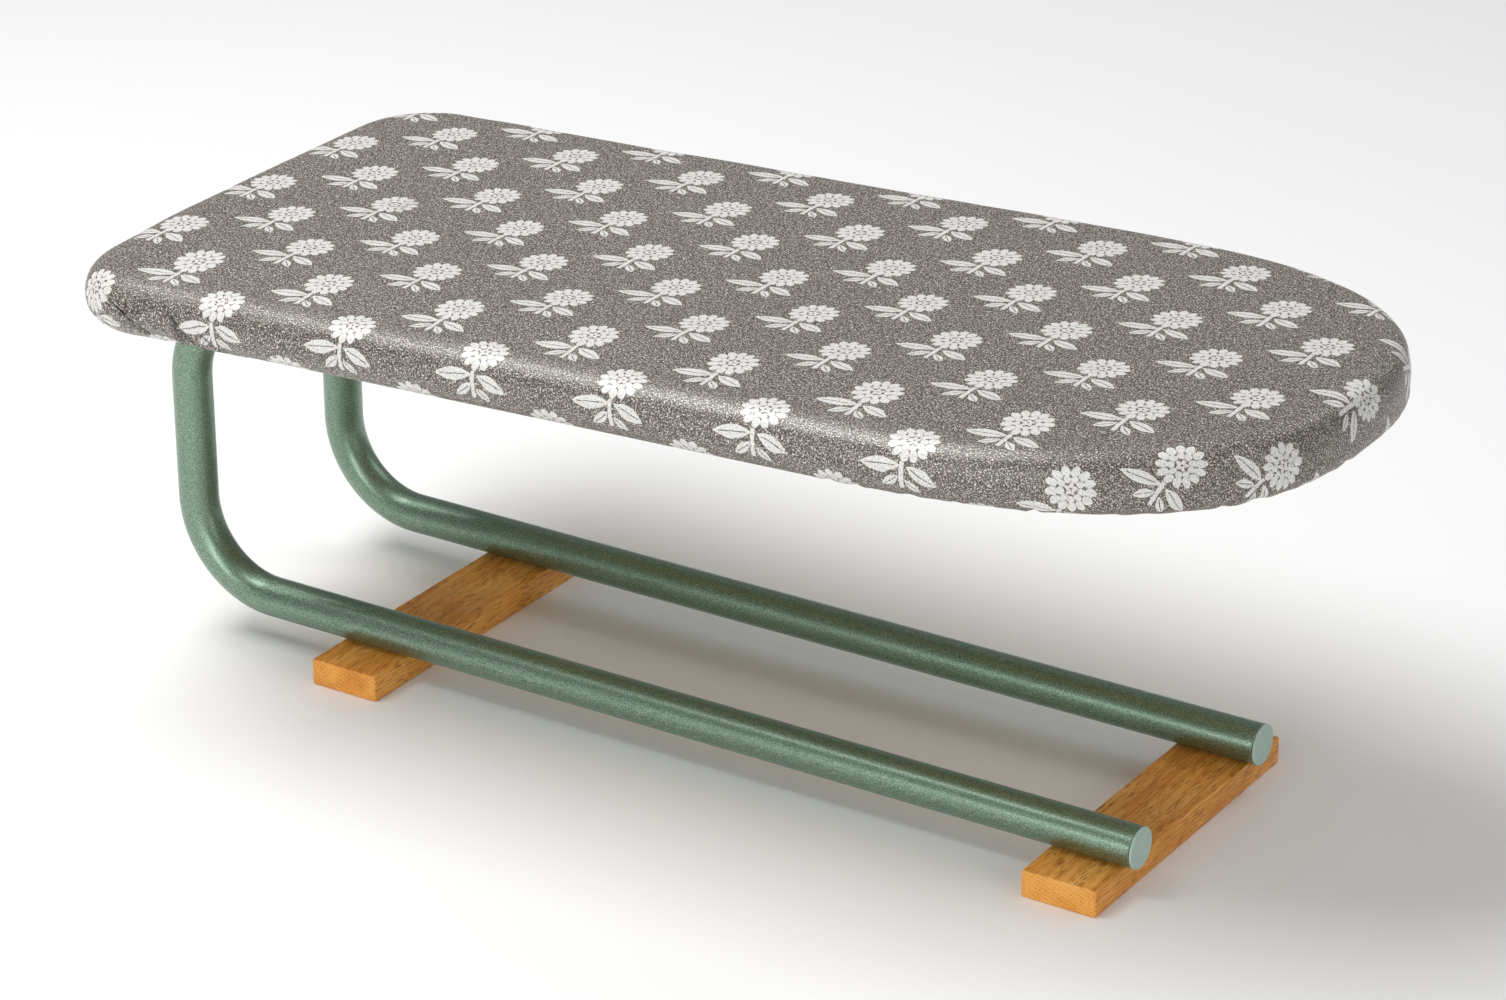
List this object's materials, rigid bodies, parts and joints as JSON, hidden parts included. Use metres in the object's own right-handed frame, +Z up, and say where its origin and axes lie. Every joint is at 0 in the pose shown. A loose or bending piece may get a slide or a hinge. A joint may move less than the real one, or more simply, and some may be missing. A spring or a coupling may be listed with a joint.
{
  "type": "sleeve ironing board",
  "caption": "Table-top ironing board with one rounded nose and a padded, gathered cloth cover, carried by two C-bent metal tubes on two flat wooden feet.",
  "frame": {"origin": "under the middle of the whole object, on the surface it stands on", "axes": "+Z up, +X along the board towards its rounded nose, +Y to the left seen from behind the square end"},
  "size_m": [0.693, 0.313, 0.267],
  "materials": {
    "green_enamel": "metallic hammered enamel, semi-gloss",
    "cap_plastic": "matt",
    "oiled_beech": "oiled, satin",
    "plywood": "raw, matt",
    "felt": "matt",
    "cover_cloth": "fine speckled weave, faint sheen",
    "elastic": "matt",
    "zinc_steel": "zinc plated"
  },
  "bodies": {
    "root": {"frame_tube_left": "green_enamel", "frame_tube_right": "green_enamel", "lower_cap_left": "cap_plastic", "upper_cap_left": "cap_plastic", "lower_cap_right": "cap_plastic", "upper_cap_right": "cap_plastic", "foot_rear": "oiled_beech", "batten_rear": "oiled_beech", "foot_front": "oiled_beech", "batten_front": "oiled_beech", "board_panel": "plywood", "board_padding": "felt", "board_cover": "cover_cloth", "hem_elastic": "elastic", "foot_bolt_rear_left": "zinc_steel", "lower_insert_rear_left": "zinc_steel", "panel_bolt_rear_left": "zinc_steel", "upper_insert_rear_left": "zinc_steel", "foot_bolt_rear_right": "zinc_steel", "lower_insert_rear_right": "zinc_steel", "panel_bolt_rear_right": "zinc_steel", "upper_insert_rear_right": "zinc_steel", "foot_bolt_front_left": "zinc_steel", "lower_insert_front_left": "zinc_steel", "panel_bolt_front_left": "zinc_steel", "upper_insert_front_left": "zinc_steel", "foot_bolt_front_right": "zinc_steel", "lower_insert_front_right": "zinc_steel", "panel_bolt_front_right": "zinc_steel", "upper_insert_front_right": "zinc_steel"}
  },
  "joints": []
}
